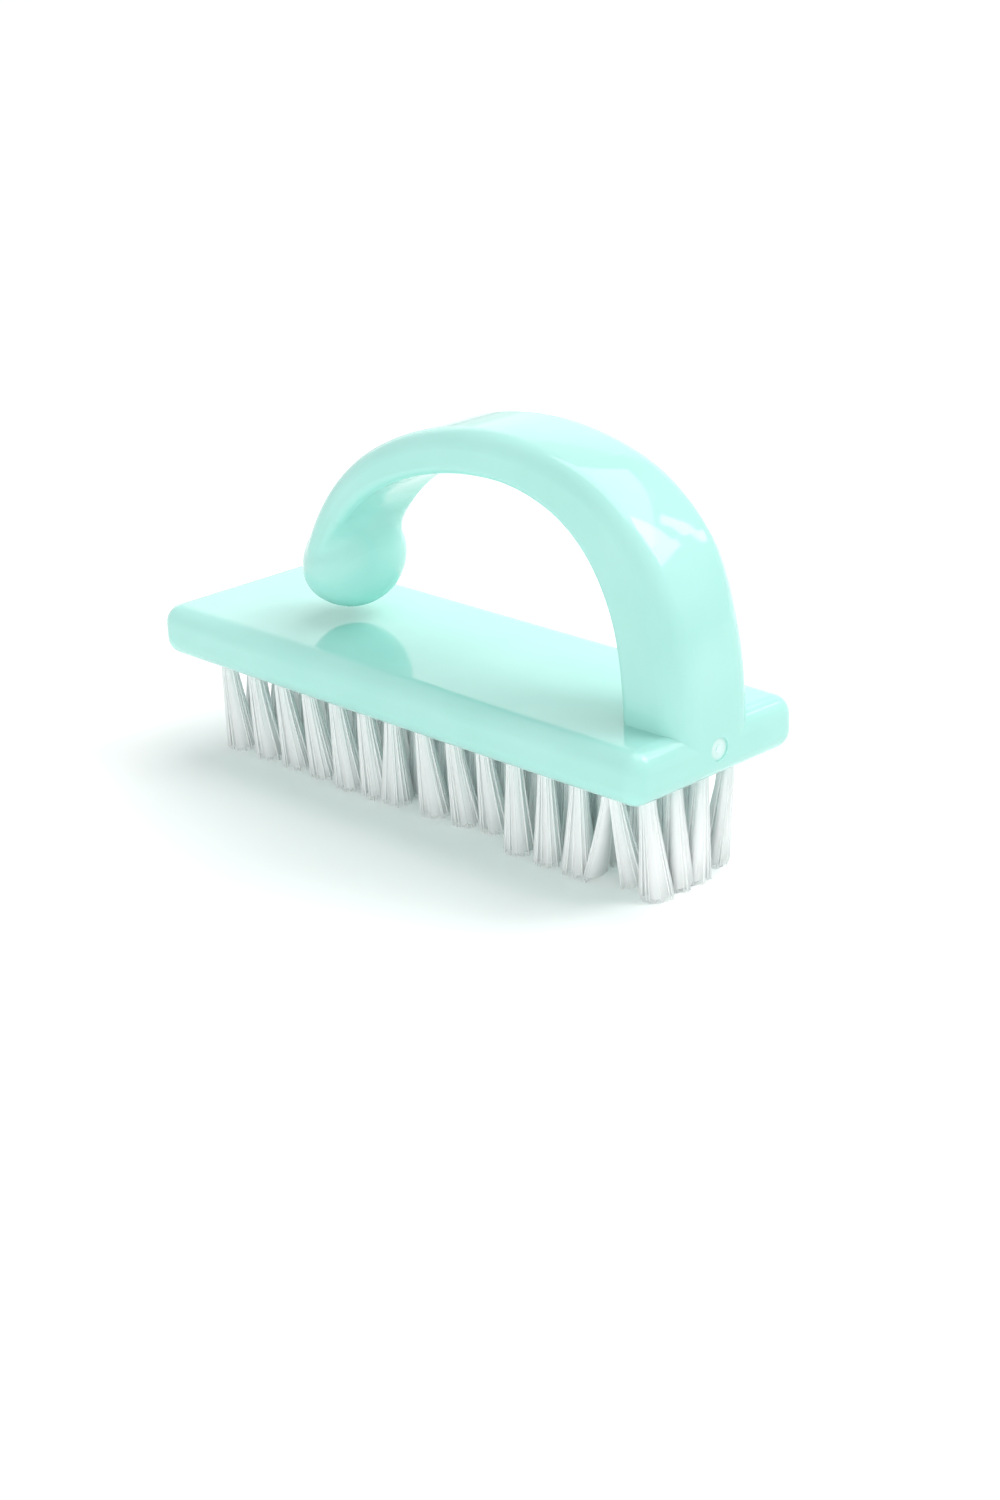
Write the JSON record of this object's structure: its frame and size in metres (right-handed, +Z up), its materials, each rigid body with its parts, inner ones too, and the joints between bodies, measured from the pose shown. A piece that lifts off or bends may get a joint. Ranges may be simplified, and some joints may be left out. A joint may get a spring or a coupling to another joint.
{
  "type": "nail brush",
  "caption": "Hand nail brush: an oblong plastic block with a hooked arch handle that ends in a bulb over it, and tufts of stiff bristles set in its underside.",
  "frame": {"origin": "on the floor under the middle of the block, at the level of the bristle tips", "axes": "+X along the block towards the end that the handle grows from, +Y across the block, +Z up from the bristle tips to the handle"},
  "size_m": [0.095, 0.031, 0.0566],
  "materials": {
    "body_plastic": "glossy mint, injection moulded",
    "bristle_nylon": "white nylon filament",
    "anchor_wire": "flat drawn wire"
  },
  "bodies": {
    "root": {"brush_body": "body_plastic", "tuft_anchors": "anchor_wire", "front_tuft_01": "bristle_nylon", "front_tuft_02": "bristle_nylon", "front_tuft_03": "bristle_nylon", "front_tuft_04": "bristle_nylon", "front_tuft_05": "bristle_nylon", "front_tuft_06": "bristle_nylon", "front_tuft_07": "bristle_nylon", "front_tuft_08": "bristle_nylon", "front_tuft_09": "bristle_nylon", "front_tuft_10": "bristle_nylon", "front_tuft_11": "bristle_nylon", "front_tuft_12": "bristle_nylon", "front_tuft_13": "bristle_nylon", "front_tuft_14": "bristle_nylon", "front_tuft_15": "bristle_nylon", "inner_tufts_01": "bristle_nylon", "inner_tufts_02": "bristle_nylon", "inner_tufts_03": "bristle_nylon", "inner_tufts_04": "bristle_nylon", "inner_tufts_05": "bristle_nylon", "inner_tufts_06": "bristle_nylon", "inner_tufts_07": "bristle_nylon", "inner_tufts_08": "bristle_nylon", "inner_tufts_09": "bristle_nylon", "inner_tufts_10": "bristle_nylon", "inner_tufts_11": "bristle_nylon", "inner_tufts_12": "bristle_nylon", "inner_tufts_13": "bristle_nylon", "inner_tufts_14": "bristle_nylon", "inner_tufts_15": "bristle_nylon", "back_tuft_01": "bristle_nylon", "back_tuft_02": "bristle_nylon", "back_tuft_03": "bristle_nylon", "back_tuft_04": "bristle_nylon", "back_tuft_05": "bristle_nylon", "back_tuft_06": "bristle_nylon", "back_tuft_07": "bristle_nylon", "back_tuft_08": "bristle_nylon", "back_tuft_09": "bristle_nylon", "back_tuft_10": "bristle_nylon", "back_tuft_11": "bristle_nylon", "back_tuft_12": "bristle_nylon", "back_tuft_13": "bristle_nylon", "back_tuft_14": "bristle_nylon", "back_tuft_15": "bristle_nylon"}
  },
  "joints": []
}
